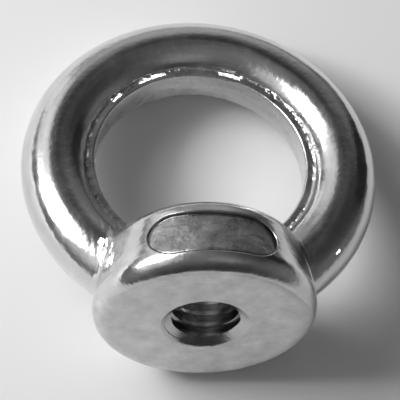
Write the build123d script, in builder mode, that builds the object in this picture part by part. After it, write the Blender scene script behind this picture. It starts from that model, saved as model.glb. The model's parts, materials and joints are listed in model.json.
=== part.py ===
"""Lifting eye nut: a round ring on a tapered boss with a threaded through bore.

Units are millimetres. +Z runs up the thread axis, the flat base lies on z = 0
with its centre at the origin, and the ring stands in the XZ plane.
"""
from build123d import *

import os
from math import cos, radians, sin, tan

# Thread: metric, 8 mm nominal
thread_d = 8.0
thread_pitch = 1.25
mouth_chamfer = 0.70  # 45 degrees, at the upper mouth, inside the eye
sink_d = 8.7  # countersink of the base mouth, at the base face
sink_depth = 0.6

# Ring
ring_outer_d = 36.0
ring_bar_d = 6.9  # round bar of the ring
eye_sink = 1.9  # how far the round of the eye dips below the top of the boss
ring_start = 30.0  # degrees from straight down, both cut ends buried in the boss

# Trimmed parting land round the inside of the ring
land_proud = 0.4  # in from the bar, all round the eye
land_w = 3.5
land_round = 0.45

# Boss
boss_d = 22.1  # across the widest circle, just above the rounded base edge
boss_h = 8.8
boss_draft = 12.0  # degrees, each side
base_round = 1.9
shoulder_round = 2.4
neck_fillet = 1.0  # where the ring runs into the boss

# Oval marking recess on the front of the boss, left plain
oval_w = 12.4
oval_h = 4.9
oval_z = 4.15
oval_depth = 0.30

# Derived
bore_d = thread_d - 1.0825 * thread_pitch  # minor diameter, the wall of the bore
mouth_r = bore_d / 2 + mouth_chamfer
ring_r = (ring_outer_d - ring_bar_d) / 2
eye_r = ring_r - ring_bar_d / 2
ring_centre_h = boss_h - eye_sink + eye_r
land_in = eye_r - land_proud  # radius of the clear eye
land_depth = ring_r - land_in
boss_foot_r = boss_d / 2 + base_round * tan(radians(boss_draft))
boss_top_r = boss_foot_r - boss_h * tan(radians(boss_draft))


def boss_section(inset):
    """Half section of the boss, its tapered side moved in by inset."""
    shift = inset / cos(radians(boss_draft))
    with BuildSketch(Plane.YZ) as half:
        with BuildLine():
            Polyline(
                (0, 0),
                (boss_foot_r - shift, 0),
                (boss_top_r - shift, boss_h),
                (0, boss_h),
                close=True,
            )
        make_face()
        fillet(half.vertices().sort_by(Axis.X)[-1], base_round)
        fillet(half.vertices().group_by(Axis.Y)[-1].sort_by(Axis.X)[-1], shoulder_round)
    return half.sketch


eye_axis = Axis((0, 0, ring_centre_h), (0, -1, 0))
start_dir = Vector(sin(radians(ring_start)), 0, -cos(radians(ring_start)))
start_plane = Plane(
    origin=(0, 0, ring_centre_h), x_dir=start_dir, z_dir=start_dir.cross(Vector(0, 1, 0))
)

with BuildPart() as boss_core:
    add(boss_section(oval_depth))
    revolve(axis=Axis.Z)

with BuildPart() as oval_tool:
    with BuildSketch(Plane.XZ.offset(boss_d / 4)):
        with Locations((0, oval_z)):
            SlotOverall(oval_w, oval_h)
    extrude(amount=boss_d)
    add(boss_core.part, mode=Mode.SUBTRACT)

with BuildPart() as ring_bar:
    with BuildSketch(start_plane):
        with Locations((ring_r, 0)):
            Circle(ring_bar_d / 2)
    revolve(axis=eye_axis, revolution_arc=360 - 2 * ring_start)

with BuildPart() as ring_land:
    with BuildSketch(start_plane):
        with Locations((land_in + land_depth / 2, 0)):
            RectangleRounded(land_depth, land_w, land_round)
    revolve(axis=eye_axis, revolution_arc=360 - 2 * ring_start)

with BuildPart() as eye_nut:
    add(boss_section(0))
    revolve(axis=Axis.Z)
    add(ring_bar.part)
    fillet(eye_nut.edges().filter_by(GeomType.BSPLINE), neck_fillet)
    add(ring_land.part)
    # Through bore, countersunk at the base and chamfered at the top
    with BuildSketch(Plane.YZ):
        with BuildLine():
            Polyline(
                (0, 0),
                (sink_d / 2, 0),
                (bore_d / 2, sink_depth),
                (bore_d / 2, boss_h - mouth_chamfer),
                (mouth_r, boss_h),
                (0, boss_h),
                close=True,
            )
        make_face()
    revolve(axis=Axis.Z, mode=Mode.SUBTRACT)
    # Oval recess
    add(oval_tool.part, mode=Mode.SUBTRACT)

eye_nut.part.label = "eye_nut"
os.makedirs("parts", exist_ok=True)
export_step(eye_nut.part, "parts/eye_nut.step")
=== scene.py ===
"""Lifting eye nut: finish, floor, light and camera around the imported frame.

Metres, +Z up the thread axis, base on z = 0, ring in the XZ plane. The mesh code
works in millimetres and scales once, when a piece is made.
"""

import json
from math import cos, pi, radians, sin, tan

import bmesh
import bpy
import numpy as np
from mathutils import Matrix, Vector
from mathutils.geometry import delaunay_2d_cdt


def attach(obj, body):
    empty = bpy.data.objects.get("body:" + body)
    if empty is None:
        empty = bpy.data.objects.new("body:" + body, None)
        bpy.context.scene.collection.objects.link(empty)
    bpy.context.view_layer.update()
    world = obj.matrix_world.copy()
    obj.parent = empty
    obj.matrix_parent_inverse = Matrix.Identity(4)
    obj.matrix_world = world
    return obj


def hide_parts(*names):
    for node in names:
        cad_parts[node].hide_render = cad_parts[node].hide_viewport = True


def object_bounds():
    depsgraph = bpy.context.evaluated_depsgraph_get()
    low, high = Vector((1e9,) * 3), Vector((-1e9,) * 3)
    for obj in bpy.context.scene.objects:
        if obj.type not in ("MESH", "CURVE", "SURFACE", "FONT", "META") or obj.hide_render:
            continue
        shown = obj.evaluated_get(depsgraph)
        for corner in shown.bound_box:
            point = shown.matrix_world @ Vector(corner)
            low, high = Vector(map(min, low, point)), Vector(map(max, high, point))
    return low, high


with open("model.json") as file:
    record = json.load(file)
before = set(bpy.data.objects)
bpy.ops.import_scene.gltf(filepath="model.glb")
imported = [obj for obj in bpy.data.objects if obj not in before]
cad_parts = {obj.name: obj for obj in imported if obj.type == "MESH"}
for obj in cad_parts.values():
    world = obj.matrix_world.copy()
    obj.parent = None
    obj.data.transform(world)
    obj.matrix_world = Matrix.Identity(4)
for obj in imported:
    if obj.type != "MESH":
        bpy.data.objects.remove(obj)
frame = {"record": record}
CAD_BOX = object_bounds()
MM = 0.001

# ---------------------------------------------------------------- sizes, millimetres
BOX_LOW = np.array(CAD_BOX[0]) / MM
BOX_HIGH = np.array(CAD_BOX[1]) / MM

BAR_R = 3.45
RING_R = (BOX_HIGH[0] - BOX_LOW[0]) / 2 - BAR_R  # centre line of the bar
EYE_Z = BOX_HIGH[2] - RING_R - BAR_R

# The land is the band left round the inside of the ring where the flash was trimmed
LAND_PROUD = 0.4
LAND_IN = RING_R - BAR_R - LAND_PROUD
LAND_HALF = 1.75
LAND_ROUND = 0.20
LAND_CREASE = 0.12  # fillet polished into the corner between the land and the bar
CREASE_RHO = RING_R - (BAR_R**2 - LAND_HALF**2) ** 0.5  # where its side meets the bar

BOSS_H = 8.8
DRAFT = radians(12.0)
BASE_ROUND = 1.9
SHOULDER_ROUND = 2.4
BOSS_R = 11.05  # the drafted side's radius, BASE_ROUND above the base
FOOT_R = BOSS_R + BASE_ROUND * tan(DRAFT)  # its radius if it ran on down to the base

NECK_FILLET = 1.0
NECK_FINE = 0.45  # the right neck's fillet, dressed closer than the left's
FILLET_SHARE = (0.02, 1.2)  # least and most of a fillet, by how squarely the two sides meet

OVAL_HALF_W = 6.2
OVAL_HALF_H = 2.45
OVAL_RUN = OVAL_HALF_W - OVAL_HALF_H  # half the straight part
OVAL_Z = 4.15
OVAL_DEPTH = 0.30
OVAL_WALL = 0.30  # width of the recess's sloping wall
OVAL_REACH = OVAL_WALL * 0.62  # mesh rows follow the oval this far either side of its edge

THREAD = next(m for m in frame["record"]["mounts"] if m["name"] == "thread")
BORE_R = THREAD["dims"]["r_mm"]
PITCH = 1.25
ROOT_R = 4.0
GROOVE_FLAT = 1 / 16  # half widths of the thread's flats, in turns
CREST_FLAT = 1 / 8
THREAD_START = 0.80  # turns from the base up to a groove's middle, at +X
MOUTH_CHAMFER = 0.70  # upper mouth, in the eye
MOUTH_R = BORE_R + MOUTH_CHAMFER
SINK_R = 4.35  # lower mouth, in the base
SINK_DEPTH = 0.6
EDGE_BREAK = 0.02  # the lower mouth's edge is broken by a hair

SIDE_N = np.array([cos(DRAFT), sin(DRAFT)])
FOOT_C = np.array([FOOT_R - BASE_ROUND * (1 + sin(DRAFT)) / cos(DRAFT), BASE_ROUND])
SHOULDER_C = np.array([
    FOOT_R - (SHOULDER_ROUND + (BOSS_H - SHOULDER_ROUND) * sin(DRAFT)) / cos(DRAFT),
    BOSS_H - SHOULDER_ROUND,
])

# ---------------------------------------------------------------- mesh steps
AROUND = 288  # round the thread axis, shared by boss, base and thread
SECTION_STEPS = ((23, 1.8), (37, 1.0), (180, 3.0))  # up to here from the land, step; degrees
NECK_ROWS = (0, 0.12, 0.25, 0.4, 0.56, 0.74, 0.94, 1.16, 1.42, 1.74, 2.1)  # mm up the bar
HALF_RING_ROWS = 62  # from there to the crown
SHEET_ROWS = (14, 23, 14, 14)  # foot, side, shoulder, top
OVAL_ROWS, OVAL_STRAIGHT, OVAL_BEND = 7, 50, 50
NECK_CLEAR = 0.13  # boss rows keep this clear of the necks
OVAL_CLEAR = 0.07  # and this clear of the rows that follow the oval
BASE_ROWS = 26
THREAD_MARKS = (0, GROOVE_FLAT, 0.11, 0.16, 0.22, 0.28, 0.33, 0.5 - CREST_FLAT, 0.42, 0.47)
THREAD_SPARE = 2  # turns past each end, squeezed flat at the mouths
THREAD_MERGE = 0.004  # squeezed points closer than this become one
SHARP_ANGLE = 24  # thread edges sharper than this stay sharp, degrees
PROFILE_STEPS = 400
SECTION_SEARCH = (2.0, 5.0)  # the ring's skin lies between these radii from the centre line
NECK_SEARCH = (20.0, 80.0)  # and enters the boss between these angles from straight down
HALVINGS = 40  # of a search range


# ---------------------------------------------------------------- the body as a surface
def soft_union(a, b, r):
    """Union of two distances with a round fillet of radius r in the corner."""
    return np.maximum(np.minimum(a, b), r) - np.hypot(
        np.maximum(r - a, 0), np.maximum(r - b, 0)
    )


def bar_distance(p):
    """Distance to the round bar of the ring, and its outward normal."""
    rho = np.hypot(p[:, 0], p[:, 2] - EYE_Z)
    out = rho - RING_R
    d = np.hypot(out, p[:, 1])
    n = np.stack([
        out * p[:, 0] / rho,
        p[:, 1],
        out * (p[:, 2] - EYE_Z) / rho,
    ], 1) / d[:, None]
    return d - BAR_R, n


def land_distance(p):
    """Distance to the trimmed parting land round the inside of the ring."""
    rho = np.hypot(p[:, 0], p[:, 2] - EYE_Z)
    mid = (LAND_IN + RING_R) / 2
    u = np.abs(rho - mid) - ((RING_R - LAND_IN) / 2 - LAND_ROUND)
    v = np.abs(p[:, 1]) - (LAND_HALF - LAND_ROUND)
    return (
        np.hypot(np.maximum(u, 0), np.maximum(v, 0))
        + np.minimum(np.maximum(u, v), 0)
        - LAND_ROUND
    )


def boss_distance(p):
    """Distance to the drafted boss with its rounded foot and shoulder, and its normal."""
    r = np.hypot(p[:, 0], p[:, 1])
    z = p[:, 2]
    side = (r - FOOT_R) * SIDE_N[0] + z * SIDE_N[1]
    planes = np.stack([side, -z, z - BOSS_H], 1)
    which = planes.argmax(1)
    d = planes.max(1)
    nr = np.choose(which, [SIDE_N[0], 0.0, 0.0])
    nz = np.choose(which, [SIDE_N[1], -1.0, 1.0])
    slope = SIDE_N[1] / SIDE_N[0]
    for centre, radius, below in (
        (FOOT_C, BASE_ROUND, True),
        (SHOULDER_C, SHOULDER_ROUND, False),
    ):
        qr, qz = r - centre[0], z - centre[1]
        inside = (qr >= 0) & ((qz <= qr * slope) if below else (qz >= qr * slope))
        reach = np.maximum(np.hypot(qr, qz), 1e-9)
        d = np.where(inside, reach - radius, d)
        nr = np.where(inside, qr / reach, nr)
        nz = np.where(inside, qz / reach, nz)
    r = np.maximum(r, 1e-9)
    return d, np.stack([nr * p[:, 0] / r, nr * p[:, 1] / r, nz], 1)


def oval_distance(x, z):
    """Signed distance to the oval's outline, seen from the front."""
    return np.hypot(np.maximum(np.abs(x) - OVAL_RUN, 0), z - OVAL_Z) - OVAL_HALF_H


def body_distance(p):
    """The whole polished body: ring, land, boss, neck fillets and the oval recess."""
    bar, bar_n = bar_distance(p)
    boss, boss_n = boss_distance(p)
    fillet = np.where(p[:, 0] < 0, NECK_FILLET, NECK_FINE)
    fillet = fillet * np.clip(1 - (bar_n * boss_n).sum(1), *FILLET_SHARE)
    d = soft_union(bar, boss, fillet)
    d = soft_union(d, land_distance(p), LAND_CREASE)
    step = np.clip(0.5 - oval_distance(p[:, 0], p[:, 2]) / OVAL_WALL, 0, 1)
    step = step * step * (3 - 2 * step)
    return d + OVAL_DEPTH * step * (p[:, 1] < 0)


def slope_of(p, eps=0.002):
    """Gradient of the body's distance."""
    g = np.empty_like(p)
    for axis in range(3):
        q = np.zeros(3)
        q[axis] = eps
        g[:, axis] = (body_distance(p + q) - body_distance(p - q)) / (2 * eps)
    return g


def settle(p, steps=7, least=0.05):
    """Moves points on to the body's surface and gives their normals."""
    p = p.copy()
    for _ in range(steps):
        g = slope_of(p)
        p -= (body_distance(p) / np.maximum((g * g).sum(1), least))[:, None] * g
    g = slope_of(p)
    return p, g / np.linalg.norm(g, axis=1)[:, None]


# ---------------------------------------------------------------- boss profile
SIDE_LOW = FOOT_C + BASE_ROUND * SIDE_N
SIDE_TOP = SHOULDER_C + SHOULDER_ROUND * SIDE_N
LEN_FOOT = BASE_ROUND * (pi / 2 + DRAFT)
LEN_SIDE = float(np.hypot(*(SIDE_TOP - SIDE_LOW)))
LEN_SHOULDER = SHOULDER_ROUND * (pi / 2 - DRAFT)
LEN_TOP = SHOULDER_C[0] - MOUTH_R
LEN_ALL = LEN_FOOT + LEN_SIDE + LEN_SHOULDER + LEN_TOP
PROFILE_ENDS = (0, LEN_FOOT, LEN_FOOT + LEN_SIDE, LEN_ALL - LEN_TOP, LEN_ALL)


def profile_point(s):
    """Radius and height of the boss at length s up its profile, from the flat base."""
    foot = -pi / 2 + s / BASE_ROUND
    shoulder = DRAFT + (s - LEN_FOOT - LEN_SIDE) / SHOULDER_ROUND
    t = (s - LEN_FOOT) / LEN_SIDE
    below = [s < end for end in PROFILE_ENDS[1:4]]
    r = np.select(below, [
        FOOT_C[0] + BASE_ROUND * np.cos(foot),
        SIDE_LOW[0] + t * (SIDE_TOP[0] - SIDE_LOW[0]),
        SHOULDER_C[0] + SHOULDER_ROUND * np.cos(shoulder),
    ], MOUTH_R + LEN_ALL - s)
    z = np.select(below, [
        FOOT_C[1] + BASE_ROUND * np.sin(foot),
        SIDE_LOW[1] + t * (SIDE_TOP[1] - SIDE_LOW[1]),
        SHOULDER_C[1] + SHOULDER_ROUND * np.sin(shoulder),
    ], BOSS_H)
    return r, z


PROFILE_S = np.linspace(0, LEN_ALL - LEN_TOP, PROFILE_STEPS)
PROFILE_Z = profile_point(PROFILE_S)[1]


def profile_length(r, z):
    """Length up the profile of the nearest point to radius r and height z."""
    foot = (np.arctan2(z - FOOT_C[1], r - FOOT_C[0]) + pi / 2) * BASE_ROUND
    side = LEN_FOOT + (r - SIDE_LOW[0]) * -SIDE_N[1] + (z - SIDE_LOW[1]) * SIDE_N[0]
    angle = np.arctan2(z - SHOULDER_C[1], r - SHOULDER_C[0]) - DRAFT
    shoulder = LEN_FOOT + LEN_SIDE + angle * SHOULDER_ROUND
    top = LEN_ALL - (r - MOUTH_R)
    return np.select(
        [side < LEN_FOOT, side < LEN_FOOT + LEN_SIDE, r < SHOULDER_C[0]],
        [foot, side, top],
        shoulder,
    )


def to_sheet(p):
    """Boss surface laid out flat: the mouth in the middle, the base edge outside."""
    spread = MOUTH_R + LEN_ALL - profile_length(np.hypot(p[:, 0], p[:, 1]), p[:, 2])
    a = np.arctan2(p[:, 1], p[:, 0])
    return np.stack([spread * np.cos(a), spread * np.sin(a)], 1)


def from_sheet(q):
    """The point on the boss for a point of the flat layout."""
    spread = np.hypot(q[:, 0], q[:, 1])
    r, z = profile_point(np.clip(MOUTH_R + LEN_ALL - spread, 0, LEN_ALL))
    return np.stack([r * q[:, 0] / spread, r * q[:, 1] / spread, z], 1)


# ---------------------------------------------------------------- ring
def ring_section():
    """Radius and side offset of the ring's section: the bar with the land inside it."""
    turns = []
    a = 0.0
    while a < 360:
        turns.append(a)
        a += next(step for reach, step in SECTION_STEPS if abs(a - 180) <= reach)
    a = np.radians(turns)
    low, high = (np.full(len(a), end) for end in SECTION_SEARCH)
    for _ in range(HALVINGS):
        mid = (low + high) / 2
        p = np.stack([RING_R + mid * np.cos(a), mid * np.sin(a), 0 * a + EYE_Z], 1)
        d = soft_union(bar_distance(p)[0], land_distance(p), LAND_CREASE)
        low, high = np.where(d < 0, mid, low), np.where(d < 0, high, mid)
    return RING_R + low * np.cos(a), low * np.sin(a)


def ring_point(rho, y, theta):
    """Point at angle theta from straight down, rho from the eye's centre."""
    return np.stack([rho * np.sin(theta), y + 0 * theta, EYE_Z - rho * np.cos(theta)], -1)


def ring_rows():
    """The ring from one neck over the top to the other, as rows of points."""
    rho, y = ring_section()
    low, high = (np.radians(np.full(len(rho), end)) for end in NECK_SEARCH)
    for _ in range(HALVINGS):
        mid = (low + high) / 2
        inside = boss_distance(ring_point(rho, y, mid))[0] < 0
        low, high = np.where(inside, mid, low), np.where(inside, high, mid)
    near = np.array(NECK_ROWS)
    run = RING_R * (pi - float(high.mean()))
    far = np.linspace(near[-1], run, HALF_RING_ROWS)[1:]
    share = np.concatenate([near, far]) / run
    half = high[None, :] + (pi - high)[None, :] * share[:, None]
    theta = np.concatenate([half, 2 * pi - half[-2::-1]])
    return ring_point(rho[None, :] + 0 * theta, y[None, :] + 0 * theta, theta)


# ---------------------------------------------------------------- boss sheet
def inside_loop(q, loop):
    """True where the flat points q lie inside the closed loop."""
    hits = np.zeros(len(q), bool)
    for a, b in zip(loop, np.roll(loop, -1, axis=0)):
        if a[1] == b[1]:
            continue
        crosses = (a[1] > q[:, 1]) != (b[1] > q[:, 1])
        at = a[0] + (q[:, 1] - a[1]) * (b[0] - a[0]) / (b[1] - a[1])
        hits ^= crosses & (q[:, 0] < at)
    return hits


def nearest(p, others, block=2000):
    """Distance from each point of p to the nearest of the others, a block at a time."""
    best = np.empty(len(p))
    for start in range(0, len(p), block):
        gap = p[start:start + block, None, :] - others[None, :, :]
        best[start:start + block] = np.sqrt((gap * gap).sum(2).min(1))
    return best


def oval_outlines():
    """Points on the boss along rings inside and outside the oval's edge."""
    straight = np.linspace(-OVAL_RUN, OVAL_RUN, OVAL_STRAIGHT)
    bend = np.linspace(-pi / 2, pi / 2, OVAL_BEND + 2)[1:-1]
    rings = []
    for off in np.linspace(-1, 1, OVAL_ROWS) * OVAL_REACH:
        r = OVAL_HALF_H + off
        end_x, end_z = OVAL_RUN + r * np.cos(bend), r * np.sin(bend)
        x = np.concatenate([straight, end_x, -straight, -end_x])
        z = np.concatenate([0 * straight - r, end_z, 0 * straight + r, -end_z]) + OVAL_Z
        radius = profile_point(np.interp(z, PROFILE_Z, PROFILE_S))[0]
        rings.append(np.stack([x, -np.sqrt(radius**2 - x**2), z], 1))
    return np.concatenate(rings)


def boss_sheet(loops):
    """Boss surface from the base edge to the upper mouth, open where the necks run in."""
    lengths = [
        np.linspace(low, high, rows + 1)[:-1]
        for low, high, rows in zip(PROFILE_ENDS, PROFILE_ENDS[1:], SHEET_ROWS)
    ]
    lengths = np.concatenate(lengths + [[LEN_ALL]])
    turn = np.arange(AROUND) * 2 * pi / AROUND
    spread = (MOUTH_R + LEN_ALL - lengths)[:, None]
    grid = np.stack([spread * np.cos(turn), spread * np.sin(turn)], 2).reshape(-1, 2)
    surface = from_sheet(grid)
    off_oval = np.abs(oval_distance(surface[:, 0], surface[:, 2]))
    keep = (off_oval >= OVAL_REACH + OVAL_CLEAR) | (surface[:, 1] >= 0)
    flat_loops = [to_sheet(loop) for loop in loops]
    for loop, flat in zip(loops, flat_loops):
        keep &= ~inside_loop(grid, flat) & (nearest(surface, loop) > NECK_CLEAR)
    keep[:AROUND] = keep[-AROUND:] = True
    points = np.concatenate(flat_loops + [grid[keep], to_sheet(oval_outlines())])
    links, start = [], 0
    for flat in flat_loops:
        count = len(flat)
        links += [(start + i, start + (i + 1) % count) for i in range(count)]
        start += count
    _, _, faces, origin, _, _ = delaunay_2d_cdt([Vector(q) for q in points], links, [], 0, 1e-7)
    order = np.array([o[0] if o else -1 for o in origin])
    faces = order[np.array([f for f in faces if len(f) == 3])]
    centre = points[faces].mean(1)
    good = (faces >= 0).all(1) & (np.hypot(*centre.T) > MOUTH_R * cos(pi / AROUND))
    for flat in flat_loops:
        good &= ~inside_loop(centre, flat)
    return from_sheet(points), faces[good]


# ---------------------------------------------------------------- making pieces
def make_piece(name, points, faces, material, normals=None):
    """A smooth mesh object from points in millimetres."""
    mesh = bpy.data.meshes.new(name)
    corners = [tuple(map(int, face)) for face in faces]
    mesh.from_pydata((np.asarray(points) * MM).tolist(), [], corners)
    mesh.validate()
    mesh.shade_smooth()
    if normals is not None:
        mesh.normals_split_custom_set_from_vertices(normals.tolist())
    mesh.materials.append(material)
    piece = bpy.data.objects.new(name, mesh)
    bpy.context.scene.collection.objects.link(piece)
    return piece


def facing_out(faces, points, normals):
    """The faces, each wound so that it looks the way the normals at its corners do."""
    first, second, last = (points[faces[:, corner]] for corner in (0, 1, -1))
    way = np.cross(second - first, last - first)
    wrong = (way * normals[faces].sum(1)).sum(1) < 0
    return np.where(wrong[:, None], faces[:, ::-1], faces)


def ring_and_boss(material):
    """The polished body in one mesh, ring, necks and boss."""
    rows = ring_rows()
    count, around = rows.shape[:2]
    boss, triangles = boss_sheet([rows[0], rows[-1]])
    ring = rows[1:-1].reshape(-1, 3)
    points = np.concatenate([boss, ring])
    index = np.empty((count, around), int)
    index[0] = np.arange(around)
    index[-1] = around + np.arange(around)
    index[1:-1] = len(boss) + np.arange(len(ring)).reshape(count - 2, around)
    a, b = index[:-1], index[1:]
    quads = np.stack([a, np.roll(a, -1, 1), np.roll(b, -1, 1), b], 2).reshape(-1, 4)
    settled, normals = settle(points)
    base_edge = np.abs(points[:, 2]) < 1e-6
    mouth_edge = np.abs(np.hypot(points[:, 0], points[:, 1]) - MOUTH_R) < 1e-4
    held = base_edge | mouth_edge
    settled[held] = points[held]
    normals[base_edge] = (0, 0, -1)
    faces = [*facing_out(triangles, settled, normals), *facing_out(quads, settled, normals)]
    return make_piece("ring_and_boss", settled, faces, material, normals)


def turned_base(material):
    """The flat turned face round the mouth of the thread."""
    rows = [(r, 0.0) for r in np.linspace(FOOT_C[0], SINK_R + 2 * EDGE_BREAK, BASE_ROWS)]
    rows += [(SINK_R + 0.75 * EDGE_BREAK, 0.25 * EDGE_BREAK), (SINK_R, EDGE_BREAK)]
    turn = np.arange(AROUND) * 2 * pi / AROUND
    points = np.array([[r * cos(t), r * sin(t), z] for r, z in rows for t in turn])
    index = np.arange(len(points)).reshape(len(rows), AROUND)
    a, b = index[:-1], index[1:]
    quads = np.stack([a, b, np.roll(b, -1, 1), np.roll(a, -1, 1)], 2).reshape(-1, 4)
    return make_piece("turned_base", points, quads, material)


def thread_radius(height):
    """Wall radius of the thread at a height, measured in turns, from the groove's middle."""
    off_groove = np.abs((height + 0.5) % 1.0 - 0.5)
    return np.interp(off_groove, [GROOVE_FLAT, 0.5 - CREST_FLAT], [ROOT_R, BORE_R])


def threaded_bore(material):
    """The helical thread between its two chamfered mouths."""
    turn_marks = np.array(THREAD_MARKS)
    turn_marks = np.concatenate([turn_marks, [0.5], 1 - turn_marks[:0:-1]])
    turns = range(-THREAD_SPARE, int(BOSS_H / PITCH) + 1 + THREAD_SPARE)
    heights = np.concatenate([k + turn_marks for k in turns])
    turn = np.arange(AROUND + 1) * 2 * pi / AROUND
    z = (heights[:, None] + turn[None, :] / (2 * pi) + THREAD_START) * PITCH
    r = np.broadcast_to(thread_radius(heights)[:, None], z.shape).copy()
    r = np.maximum(r, SINK_R - np.maximum(z, 0) * (SINK_R - BORE_R) / SINK_DEPTH)
    r = np.maximum(r, MOUTH_R - np.maximum(BOSS_H - z, 0))
    r = np.where(z <= EDGE_BREAK, SINK_R, np.where(z >= BOSS_H, MOUTH_R, r))
    z = np.clip(z, EDGE_BREAK, BOSS_H)
    points = np.stack([r * np.cos(turn), r * np.sin(turn), z], 2).reshape(-1, 3)
    index = np.arange(len(points)).reshape(len(heights), AROUND + 1)
    quads = np.stack([index[:-1, :-1], index[1:, :-1], index[1:, 1:], index[:-1, 1:]], 2)
    piece = make_piece("threaded_bore", points, quads.reshape(-1, 4), material)
    shape = bmesh.new()
    shape.from_mesh(piece.data)
    bmesh.ops.remove_doubles(shape, verts=shape.verts, dist=THREAD_MERGE * MM)
    bmesh.ops.dissolve_degenerate(shape, dist=THREAD_MERGE / 2 * MM, edges=shape.edges)
    shape.to_mesh(piece.data)
    shape.free()
    piece.data.shade_smooth()
    sharp = piece.modifiers.new("sharp thread edges", "EDGE_SPLIT")
    sharp.split_angle = radians(SHARP_ANGLE)
    return piece


# ---------------------------------------------------------------- marks in the steel
PEEL_HEIGHT = 0.010  # one step of relief, mm

# Relief: height in steps, then the noise's scale, detail and roughness
FINE_PEEL = (1.4, 2400, 1.5)
BROAD_PEEL = (2.4, 900, 1.0)
RIPPLE = (8.0, 240, 1.5)
BELT = (13.0, 450, 1.5)
TRIM = (5.0, 1500, 2.0)
CAST = (14.0, 750, 3.0, 0.6)
GROUND = (14.0, 1300, 1.0)

# Patches: the noise's scale, detail and roughness, then the part of it that is spread out
# to go from 0 to 1, or between the two numbers that follow
CLOUD = ((420, 3.0, 0.6), (0.3, 0.7))
SMEAR = ((520, 4.0, 0.65), (0.36, 0.64))
PITS = ((5200, 2.0, 0.6), (0.35, 0.65, 0.0, 0.12))
NICKS = ((330, 1.0), (0.40, 0.55, 2.0, 14.0))
NICK_LEAN = ((1500, 1.0), (0.3, 0.7, -0.6, 0.6))
FLAT_EDGE = ((3000, 2.0), (0.3, 0.7, -0.08 * MM, 0.08 * MM))  # metres

BELT_WIDTH = 0.12  # of the belt's marks, as a share of their length
GROUND_WIDTH = 0.08  # of the upright grinding marks, likewise

# Where each finish starts and where it is full, mm. Two more numbers are its share there.
BELT_Z, BELT_X = (8.7, 10.2), (10.4, 11.6)  # belt marks, above the boss or outside it
GROUND_X, GROUND_Z = (8.7, 9.3), (2.4, 3.6)  # grinding marks, beside the necks
GROUND_SIDES = (-2, 2, 1.0, 0.25)  # fewer on the right
LAND_RHO, LAND_SIDE = (11.75, 11.5), (2.15, 1.9)
CREASE_REACH = (0.26, 0.06)
NICK_SIDES = (2, 7, 1.0, 2.4)  # deeper on the right
LAND_SHADE_X, LAND_SHADE_Z = (-3, 3), (20, 27)  # painted shade: the land darkened right of the crown, standing for the shadowed floor it reflects
PLATE_Y = (-6.0, -7.0)
RECESS_SHADE_INNER = (-0.22, -0.10)  # painted shade in the corner round the recess's floor, from the oval's edge
RECESS_SHADE_OUTER = (0.06, -0.04)
CHIP_REACH, CHIP_SIDE = (0.26, 0.16), (1.3, 1.5)
# The dressed rim runs higher at both ends of the foot, where less of the height counts
DRESSED_LEFT = (-10.6, -8.0, 0.3, 1.0)
DRESSED_RIGHT = (8.5, 10.6, 1.0, 0.5)

CHIP_RHO = 11.32  # middle of the land's side wall, chipped where the flash was trimmed
CHIPS = ((-24, 9), (-47, 4), (18, 7))  # angle round the ring from its crown, half length
CHIP_FULL = 0.7  # of the half length
CHIP_WAY = (0.91, 0, 0.41)  # the chips step this way
CHIP_STEP = 0.34
CHIP_HEIGHT = 19.0
CHIP_RAGGED = (0.3 * MM, 1100, 1.0)  # metres, then the noise

FLATS = (  # small flats left by the file and by knocks: x, y, z, half width, half length
    (-10.22, -3.42, 7.12, 0.27, 0.40),
    (-10.33, -3.36, 6.30, 0.27, 0.36),
    (-9.78, -3.62, 7.05, 0.11, 0.42),
    (-10.12, -3.32, 5.55, 0.12, 0.36),
    (-10.35, -2.92, 4.85, 0.11, 0.30),
    (-9.33, -4.08, 6.40, 0.13, 0.36),
    (-9.50, -3.98, 5.65, 0.12, 0.30),
    (13.08, -2.42, 6.98, 0.12, 0.13),
    (13.32, -2.28, 7.25, 0.16, 0.20),
)
FLATS_FACE = np.array([-0.522, -0.823, -0.223])  # the way they all face
FLAT_SOFT = 0.04  # width of a flat's soft edge

# Tones and roughnesses, from clear to cloudy steel; some tones also carry painted shade
POLISH_TONE, POLISH_ROUGH = (0.66, 0.74), (0.10, 0.20)
SATIN_TONE, SATIN_ROUGH = (0.58, 0.86), (0.48, 0.58)
# the recess floor is darker: partly its dull cast skin, partly painted shade
CAST_TONE_AND_SHADE, CAST_ROUGH = (0.28, 0.58), (0.28, 0.40)
# the thread is darker partly as cut metal, partly as painted shade inside the bore
THREAD_TONE_AND_SHADE, THREAD_ROUGH = (0.48, 0.60), (0.15, 0.23)
LAND_ROUGH = (0.22, 0.34)
SMEAR_TONE, SMEAR_ROUGH = (0.92, 1.15), 0.05
# painted shade on the land right of the crown
LAND_SHADE_TONE = (1.0, 0.76)
# painted shade round the recess floor
RECESS_SHADE_TONE = (1.0, 0.15)

DRESSED_LOW, DRESSED_HIGH = 0.34, 0.40  # the foot's dressed rim fades out between, mm
DRESSED_TILT = 0.030  # the foot was dressed this much out of square
DRESSED_RAGGED = 0.04
TURNING_PITCH = 0.16
TURNING_HEIGHT = 0.3
TURNING_WANDER = 3.0

PAPER_TONE, PAPER_ROUGH, PAPER_SHINE = 0.86, 0.9, 0.1


# ---------------------------------------------------------------- shader nodes
def maths(tree, operation, a, b=0.0):
    """One Math node; a and b are sockets or numbers."""
    node = tree.nodes.new("ShaderNodeMath")
    node.operation = operation
    for socket, value in zip(node.inputs, (a, b)):
        if isinstance(value, (int, float)):
            socket.default_value = value
        else:
            tree.links.new(value, socket)
    return node.outputs["Value"]


def product(tree, value, *others):
    """Sockets and numbers multiplied together."""
    for other in others:
        value = maths(tree, "MULTIPLY", value, other)
    return value


def hypotenuse(tree, a, b):
    """Root of the sum of two squares."""
    squares = maths(tree, "ADD", product(tree, a, a), product(tree, b, b))
    return maths(tree, "SQRT", squares)


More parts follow.
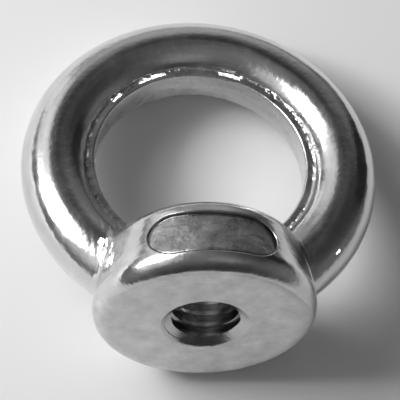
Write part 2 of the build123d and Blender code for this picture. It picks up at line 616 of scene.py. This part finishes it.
def vector_maths(tree, operation, a, b=(0, 0, 0)):
    """One Vector Math node on a socket, with a fixed second vector."""
    node = tree.nodes.new("ShaderNodeVectorMath")
    node.operation = operation
    tree.links.new(a, node.inputs[0])
    node.inputs[1].default_value = b
    return node.outputs["Value" if operation in ("DOT_PRODUCT", "LENGTH") else "Vector"]


def axes(tree, vector):
    """The x, y and z of a vector."""
    node = tree.nodes.new("ShaderNodeSeparateXYZ")
    tree.links.new(vector, node.inputs[0])
    return node.outputs


def joined(tree, x, y, z):
    """A vector from its x, y and z."""
    node = tree.nodes.new("ShaderNodeCombineXYZ")
    for socket, value in zip(node.inputs, (x, y, z)):
        tree.links.new(value, socket)
    return node.outputs["Vector"]


def ranged(tree, value, low, high, to_low=0.0, to_high=1.0, ease="LINEAR"):
    """Value carried from one range to another, held at both ends."""
    node = tree.nodes.new("ShaderNodeMapRange")
    node.interpolation_type = ease
    for socket, number in (
        ("From Min", low), ("From Max", high), ("To Min", to_low), ("To Max", to_high)
    ):
        node.inputs[socket].default_value = number
    tree.links.new(value, node.inputs["Value"])
    return node.outputs["Result"]


def fade(tree, length, low, high, to_low=0.0, to_high=1.0):
    """A share that changes while a length in metres goes from low to high millimetres."""
    return ranged(tree, length, low * MM, high * MM, to_low, to_high)


def between(tree, share, levels):
    """The first of two numbers where share is 0, the second where it is 1."""
    return ranged(tree, share, 0, 1, *levels)


def blend(tree, share, first, second):
    """The first of two sockets where share is 0, the second where it is 1."""
    step = maths(tree, "SUBTRACT", second, first)
    return maths(tree, "ADD", first, product(tree, share, step))


def noise(tree, vector, scale, detail, roughness=0.5):
    """A noise texture at the vector."""
    node = tree.nodes.new("ShaderNodeTexNoise")
    node.inputs["Scale"].default_value = scale
    node.inputs["Detail"].default_value = detail
    node.inputs["Roughness"].default_value = roughness
    tree.links.new(vector, node.inputs["Vector"])
    return node.outputs["Fac"]


def marks(tree, vector, height, *grain):
    """Noise of a height."""
    return product(tree, noise(tree, vector, *grain), height)


def patches(tree, vector, grain, spread):
    """Noise with the middle of its range spread out."""
    return ranged(tree, noise(tree, vector, *grain), *spread)


# ---------------------------------------------------------------- skin of the steel
def plate_masks(group, vector):
    """Masks of the oval recess: its floor, and the corner round the floor where painted shade
    goes.
    """
    x, y, z = axes(group, vector)
    past = maths(group, "SUBTRACT", maths(group, "ABSOLUTE", x), OVAL_RUN * MM)
    past = maths(group, "MAXIMUM", past, 0.0)
    off = hypotenuse(group, past, maths(group, "SUBTRACT", z, OVAL_Z * MM))
    floor, inner, outer = (
        fade(group, off, OVAL_HALF_H + start, OVAL_HALF_H + full)
        for start, full in ((0, -OVAL_WALL), RECESS_SHADE_INNER, RECESS_SHADE_OUTER)
    )
    front = fade(group, y, *PLATE_Y)
    return product(group, floor, front), product(group, inner, outer, front)


def land_masks(group, rho, side):
    """Masks of the trimmed land, and of the crease where it meets the bar."""
    land = product(group, fade(group, rho, *LAND_RHO), fade(group, side, *LAND_SIDE))
    off = hypotenuse(
        group,
        maths(group, "SUBTRACT", rho, CREASE_RHO * MM),
        maths(group, "SUBTRACT", side, LAND_HALF * MM),
    )
    return land, fade(group, off, *CREASE_REACH)


def ground_sides(group, vector, clear):
    """Relief of the upright grinding marks on the boss beside the necks."""
    x, y, z = axes(group, vector)
    upright = joined(group, x, y, product(group, z, GROUND_WIDTH))
    return product(
        group,
        marks(group, upright, *GROUND),
        maths(group, "SUBTRACT", 1.0, clear),
        fade(group, maths(group, "ABSOLUTE", x), *GROUND_X),
        fade(group, z, *GROUND_Z),
        fade(group, x, *GROUND_SIDES),
    )


def chipped_wall(group, vector, angle, rho, side):
    """Relief of the chips along the land's side wall, small leaning facets."""
    off = maths(group, "ABSOLUTE", maths(group, "SUBTRACT", rho, CHIP_RHO * MM))
    wall = product(group, fade(group, off, *CHIP_REACH), fade(group, side, *CHIP_SIDE))
    chipped = 0.0
    for middle, half in CHIPS:
        off = maths(group, "ABSOLUTE", maths(group, "SUBTRACT", angle, radians(middle)))
        one = ranged(group, off, radians(half), radians(half * CHIP_FULL))
        chipped = maths(group, "MAXIMUM", one, chipped)
    across = vector_maths(group, "DOT_PRODUCT", vector, CHIP_WAY)
    across = maths(group, "ADD", across, marks(group, vector, *CHIP_RAGGED))
    facet = maths(group, "FRACT", maths(group, "DIVIDE", across, CHIP_STEP * MM))
    return product(group, wall, chipped, facet, CHIP_HEIGHT)


def nicked_crease(group, vector, crease):
    """Relief of the nicks left along the land's crease."""
    x = axes(group, vector)["X"]
    return product(
        group,
        patches(group, vector, *NICKS),
        patches(group, vector, *NICK_LEAN),
        fade(group, x, *NICK_SIDES),
        crease,
    )


def small_flats(group, vector):
    """Each flat as a slope, in steps of relief, that turns the skin to face FLATS_FACE."""
    spots, normals = settle(np.array([flat[:3] for flat in FLATS]))
    ragged = patches(group, vector, *FLAT_EDGE)
    total = 0.0
    for spot, normal, (*_, wide, long) in zip(spots, normals, FLATS):
        slope = normal - FLATS_FACE / (FLATS_FACE @ normal)
        off = vector_maths(group, "SUBTRACT", vector, spot * MM)
        lean = vector_maths(group, "DOT_PRODUCT", off, slope / (PEEL_HEIGHT * MM))
        shortened = vector_maths(group, "MULTIPLY", off, (1, 1, wide / long))
        away = maths(group, "ADD", vector_maths(group, "LENGTH", shortened), ragged)
        inside = fade(group, away, wide, wide + FLAT_SOFT, 1, 0)
        total = maths(group, "ADD", product(group, lean, inside), total)
    return total


def steel_skin():
    """Group: the relief and the patches that cast and polished steel keeps, with the masks
    where painted shade goes.
    """
    group = bpy.data.node_groups.new("steel_skin", "ShaderNodeTree")
    face = group.interface
    face.new_socket("Vector", in_out="INPUT", socket_type="NodeSocketVector")
    for name in ("Peel", "Pits"):
        socket = face.new_socket(name, in_out="INPUT", socket_type="NodeSocketFloat")
        socket.default_value = 1.0
    for name in ("Relief", "Cloud", "Land", "Plate", "RecessShade", "Smear", "LandShade"):
        face.new_socket(name, in_out="OUTPUT", socket_type="NodeSocketFloat")
    start = group.nodes.new("NodeGroupInput")
    end = group.nodes.new("NodeGroupOutput")
    vector, peel, pits = (start.outputs[name] for name in ("Vector", "Peel", "Pits"))

    x, y, z = axes(group, vector)
    up = maths(group, "SUBTRACT", z, EYE_Z * MM)
    angle = maths(group, "ARCTAN2", x, up)
    rho = hypotenuse(group, x, up)
    side = maths(group, "ABSOLUTE", y)
    along_bar = joined(
        group,
        product(group, angle, RING_R * MM * BELT_WIDTH),
        maths(group, "SUBTRACT", rho, RING_R * MM),
        y,
    )
    land, crease = land_masks(group, rho, side)
    # corner: the mask of the painted shade round the recess floor
    plate, corner = plate_masks(group, vector)
    clear = maths(
        group, "MAXIMUM", fade(group, z, *BELT_Z),
        fade(group, maths(group, "ABSOLUTE", x), *BELT_X))

    orange_peel = maths(
        group, "ADD", marks(group, vector, *FINE_PEEL), marks(group, vector, *BROAD_PEEL))
    relief = product(group, patches(group, vector, *PITS), pits)
    for layer in (
        product(group, orange_peel, peel),
        marks(group, vector, *RIPPLE),
        product(group, marks(group, along_bar, *BELT), clear, peel),
        product(group, marks(group, vector, *TRIM), land),
        nicked_crease(group, vector, crease),
        ground_sides(group, vector, clear),
        chipped_wall(group, vector, angle, rho, side),
        product(group, marks(group, vector, *CAST), plate),
        small_flats(group, vector),
    ):
        relief = maths(group, "ADD", relief, layer)

    for name, value in (
        ("Relief", relief),
        ("Cloud", patches(group, vector, *CLOUD)),
        ("Land", land),
        ("Plate", plate),
        ("RecessShade", corner),
        ("Smear", patches(group, along_bar, *SMEAR)),
        # mask of the painted shade on the land right of the crown
        ("LandShade", product(group, land, fade(group, x, *LAND_SHADE_X), fade(group, z, *LAND_SHADE_Z))),
    ):
        group.links.new(value, end.inputs[name])
    return group


# ---------------------------------------------------------------- materials
def new_material(name):
    """A material with its node tree and shader."""
    material = bpy.data.materials.new(name)
    material.use_nodes = True
    nodes = material.node_tree.nodes
    shader = next(n for n in nodes if n.type == "BSDF_PRINCIPLED")
    return material, material.node_tree, shader


def new_steel(name, group, peel, pits):
    """A bare metal material with the nut's own coordinates and the steel skin's outputs."""
    material, tree, shader = new_material(name)
    shader.inputs["Metallic"].default_value = 1.0
    vector = tree.nodes.new("ShaderNodeTexCoord").outputs["Object"]
    skin = tree.nodes.new("ShaderNodeGroup")
    skin.node_tree = group
    skin.inputs["Peel"].default_value = peel
    skin.inputs["Pits"].default_value = pits
    tree.links.new(vector, skin.inputs["Vector"])
    return material, tree, shader, vector, skin.outputs


def set_surface(tree, shader, tone, rough, relief):
    """Gives the shader a grey tone, a roughness and a relief in steps of PEEL_HEIGHT."""
    colour = tree.nodes.new("ShaderNodeCombineColor")
    for channel in ("Red", "Green", "Blue"):
        tree.links.new(tone, colour.inputs[channel])
    bump = tree.nodes.new("ShaderNodeBump")
    bump.inputs["Strength"].default_value = 1.0
    bump.inputs["Distance"].default_value = PEEL_HEIGHT * MM
    tree.links.new(relief, bump.inputs["Height"])
    tree.links.new(colour.outputs["Color"], shader.inputs["Base Color"])
    tree.links.new(rough, shader.inputs["Roughness"])
    tree.links.new(bump.outputs["Normal"], shader.inputs["Normal"])


def polished_steel(group):
    """Hand-polished body: bright, a little wavy, satin where the foot was dressed; its tone
    carries painted shade on the land right of the crown and round the recess floor.
    """
    material, tree, shader, vector, skin = new_steel("polished_steel", group, 1.0, 1.0)
    cloud, plate, smear = skin["Cloud"], skin["Plate"], skin["Smear"]
    x, y, z = axes(tree, vector)
    height = product(tree, z, 1 / MM)
    height = maths(tree, "SUBTRACT", height, product(tree, y, DRESSED_TILT / MM))
    height = maths(tree, "ADD", height, product(tree, cloud, DRESSED_RAGGED))
    height = product(tree, height, fade(tree, x, *DRESSED_LEFT), fade(tree, x, *DRESSED_RIGHT))
    dressed = ranged(tree, height, DRESSED_LOW, DRESSED_HIGH, 1.0, 0.0)

    # the tone's last factor here is painted shade on the land right of the crown
    tone = product(
        tree,
        between(tree, cloud, POLISH_TONE),
        between(tree, smear, SMEAR_TONE),
        between(tree, skin["LandShade"], LAND_SHADE_TONE),
    )
    # the recess floor's cast tone, partly its own colour and partly painted shade
    tone = blend(tree, plate, tone, between(tree, cloud, CAST_TONE_AND_SHADE))
    # painted shade round the recess floor
    tone = product(tree, tone, between(tree, skin["RecessShade"], RECESS_SHADE_TONE))
    tone = blend(tree, dressed, tone, between(tree, cloud, SATIN_TONE))

    rough = maths(
        tree, "ADD", between(tree, cloud, POLISH_ROUGH), product(tree, smear, SMEAR_ROUGH))
    rough = blend(tree, skin["Land"], rough, between(tree, cloud, LAND_ROUGH))
    rough = blend(tree, plate, rough, between(tree, cloud, CAST_ROUGH))
    rough = blend(tree, dressed, rough, between(tree, cloud, SATIN_ROUGH))
    set_surface(tree, shader, tone, rough, skin["Relief"])
    return material


def turned_steel(group):
    """Base face: fine turning marks round the thread, satin."""
    material, tree, shader, vector, skin = new_steel("turned_steel", group, 0.3, 2.0)
    cloud = skin["Cloud"]
    x, y, _ = axes(tree, vector)
    sweep = product(tree, hypotenuse(tree, x, y), 2 * pi / (TURNING_PITCH * MM))
    sweep = maths(tree, "ADD", sweep, product(tree, cloud, TURNING_WANDER))
    turning = product(tree, maths(tree, "SINE", sweep), TURNING_HEIGHT)
    set_surface(
        tree, shader, between(tree, cloud, SATIN_TONE), between(tree, cloud, SATIN_ROUGH),
        maths(tree, "ADD", turning, skin["Relief"]))
    return material


def cut_steel(group):
    """Tapped thread and its chamfers: bare cut metal, its darker tone partly the cut metal and
    partly painted shade inside the bore.
    """
    material, tree, shader, _, skin = new_steel("cut_steel", group, 0.4, 3.0)
    set_surface(
        tree, shader, between(tree, skin["Cloud"], THREAD_TONE_AND_SHADE),
        between(tree, skin["Cloud"], THREAD_ROUGH), skin["Relief"])
    return material


def paper():
    """Plain pale floor, seen from its upper side only."""
    material, tree, shader = new_material("paper")
    shader.inputs["Base Color"].default_value = (PAPER_TONE, PAPER_TONE, PAPER_TONE, 1)
    shader.inputs["Roughness"].default_value = PAPER_ROUGH
    shader.inputs["Specular IOR Level"].default_value = PAPER_SHINE
    out = next(n for n in tree.nodes if n.type == "OUTPUT_MATERIAL")
    side = tree.nodes.new("ShaderNodeNewGeometry")
    clear = tree.nodes.new("ShaderNodeBsdfTransparent")
    mix = tree.nodes.new("ShaderNodeMixShader")
    tree.links.new(side.outputs["Backfacing"], mix.inputs["Fac"])
    tree.links.new(shader.outputs["BSDF"], mix.inputs[1])
    tree.links.new(clear.outputs["BSDF"], mix.inputs[2])
    tree.links.new(mix.outputs["Shader"], out.inputs["Surface"])
    return material


# ---------------------------------------------------------------- object
skin_group = steel_skin()
body = ring_and_boss(polished_steel(skin_group))
base = turned_base(turned_steel(skin_group))
thread = threaded_bore(cut_steel(skin_group))
for piece in (body, base, thread):
    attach(piece, "root")
    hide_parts("eye_nut")

# ---------------------------------------------------------------- floor
# The nut lies on its back: the floor touches the crown of the ring and the base edge.
FLOOR_N = Vector((0, -0.9700, -0.2431)).normalized()
FLOOR_DROP = 0.011363  # from the nut's origin down to the floor, metres
FLOOR_AT = FLOOR_N * -FLOOR_DROP
FLOOR_RIGHT = Vector((1, 0, 0))
FLOOR_UP = FLOOR_N.cross(FLOOR_RIGHT)

# The sheet is turned a little to the nut and ends not far above it, metres
PAPER_TURN = radians(-12)
PAPER_LEFT, PAPER_RIGHT, PAPER_DOWN, PAPER_UP = -0.45, 0.30, -0.30, 0.061


def on_paper(across, up):
    """A point of the floor, metres across and up the sheet from under the nut."""
    right = across * cos(PAPER_TURN) - up * sin(PAPER_TURN)
    ahead = across * sin(PAPER_TURN) + up * cos(PAPER_TURN)
    return FLOOR_AT + FLOOR_RIGHT * right + FLOOR_UP * ahead


def floor_sheet():
    """The sheet of paper under the nut, its upper side to the light."""
    corners = [
        on_paper(PAPER_LEFT, PAPER_DOWN), on_paper(PAPER_RIGHT, PAPER_DOWN),
        on_paper(PAPER_RIGHT, PAPER_UP), on_paper(PAPER_LEFT, PAPER_UP),
    ]
    mesh = bpy.data.meshes.new("floor")
    mesh.from_pydata([tuple(corner) for corner in corners], [], [(0, 1, 2, 3)])
    mesh.materials.append(paper())
    if mesh.polygons[0].normal.dot(FLOOR_N) < 0:
        mesh.flip_normals()
    sheet = bpy.data.objects.new("floor", mesh)
    bpy.context.scene.collection.objects.link(sheet)
    return sheet


floor = floor_sheet()

# ---------------------------------------------------------------- light
NUT_MIDDLE = Vector((0, 0, 0.015))
SOFTBOXES = (  # angle round the floor, from its normal, roll; distance, width, height; watts
    ("window", 160, 58, -8, 0.36, 0.175, 0.135, 0.99),
    ("window_bright", 174, 56, -8, 0.355, 0.070, 0.110, 0.28),
    ("window_head", 152, 41, 0, 0.36, 0.20, 0.09, 0.17),
    ("rear_left", 200, 130, 0, 0.45, 0.30, 0.30, 1.2),
    ("rear_right", 20, 125, 0, 0.45, 0.30, 0.30, 0.8),
)
ROOM_BASE = 0.09
ROOM_LEAST = 0.02
ROOM_GLOWS = (  # angle round the floor, angle from its normal, spread, strength
    (128, 66, 26, 0.70),
    (120, 91, 13, 0.70),
    (92, 86, 32, 0.27),
    (64, 76, 24, 0.08),
    (186, 50, 30, 0.45),
    (200, 86, 34, 0.08),
    (-10, 86, 30, 0.05),
    (200, 25, 75, 0.06),
    (40, 45, 45, -0.05),
    (-90, 66, 50, -0.06),
    (36, 82, 22, -0.10),
    (76, 50, 20, 0.015),
    (86, 42, 13, -0.055),
    (-62, 30, 18, 0.10),
    (0, 180, 80, 0.60),
)


def floor_way(azimuth, zenith):
    """Unit direction by its angle round the floor, from the right, and down from its normal."""
    a, z = radians(azimuth), radians(zenith)
    return sin(z) * (cos(a) * FLOOR_RIGHT + sin(a) * FLOOR_UP) + cos(z) * FLOOR_N


def softbox(name, azimuth, zenith, roll, distance, width, height, power):
    """A square-cut lamp aimed at the nut: width runs round the floor, height up from it."""
    back = floor_way(azimuth, zenith)
    across = FLOOR_N.cross(back).normalized()
    across = Matrix.Rotation(radians(roll), 3, back) @ across
    up = back.cross(across)
    data = bpy.data.lights.new(name, "AREA")
    data.shape = "RECTANGLE"
    data.size, data.size_y = width, height
    data.energy = power
    lamp = bpy.data.objects.new(name, data)
    turn = Matrix((across, up, back)).transposed()
    lamp.matrix_world = Matrix.Translation(NUT_MIDDLE + back * distance) @ turn.to_4x4()
    bpy.context.scene.collection.objects.link(lamp)


def room_light():
    """A dim room, a little brighter beside the window and low down."""
    world = bpy.data.worlds.new("room")
    world.use_nodes = True
    tree = world.node_tree
    way = tree.nodes.new("ShaderNodeTexCoord").outputs["Generated"]
    total = ROOM_BASE
    for azimuth, zenith, spread, strength in ROOM_GLOWS:
        facing = vector_maths(tree, "DOT_PRODUCT", way, floor_way(azimuth, zenith))
        glow = ranged(tree, facing, cos(radians(spread)), 1.0, 0.0, strength, "SMOOTHSTEP")
        total = maths(tree, "ADD", glow, total)
    background = tree.nodes["Background"]
    background.inputs["Color"].default_value = (1, 1, 1, 1)
    tree.links.new(maths(tree, "MAXIMUM", total, ROOM_LEAST), background.inputs["Strength"])
    bpy.context.scene.world = world


for box in SOFTBOXES:
    softbox(*box)
room_light()
bpy.context.scene.view_settings.view_transform = "Standard"

# ---------------------------------------------------------------- camera
CAMERA_AT = (-0.023356, -0.195681, -0.114953)
CAMERA_RIGHT = Vector((0.99481, -0.09552, -0.03495))
CAMERA_BACK = Vector((-0.09898, -0.82995, -0.54900))
CAMERA_SENSOR, CAMERA_LENS = 36.0, 211.16

camera_data = bpy.data.cameras.new("camera")
camera_data.sensor_width = CAMERA_SENSOR
camera_data.lens = CAMERA_LENS
camera_data.clip_start = 0.01
camera = bpy.data.objects.new("camera", camera_data)
look_back = CAMERA_BACK.normalized()
look_up = look_back.cross(CAMERA_RIGHT.normalized()).normalized()
look_right = look_up.cross(look_back).normalized()
camera.matrix_world = (
    Matrix.Translation(CAMERA_AT)
    @ Matrix((look_right, look_up, look_back)).transposed().to_4x4()
)
bpy.context.scene.collection.objects.link(camera)
bpy.context.scene.camera = camera
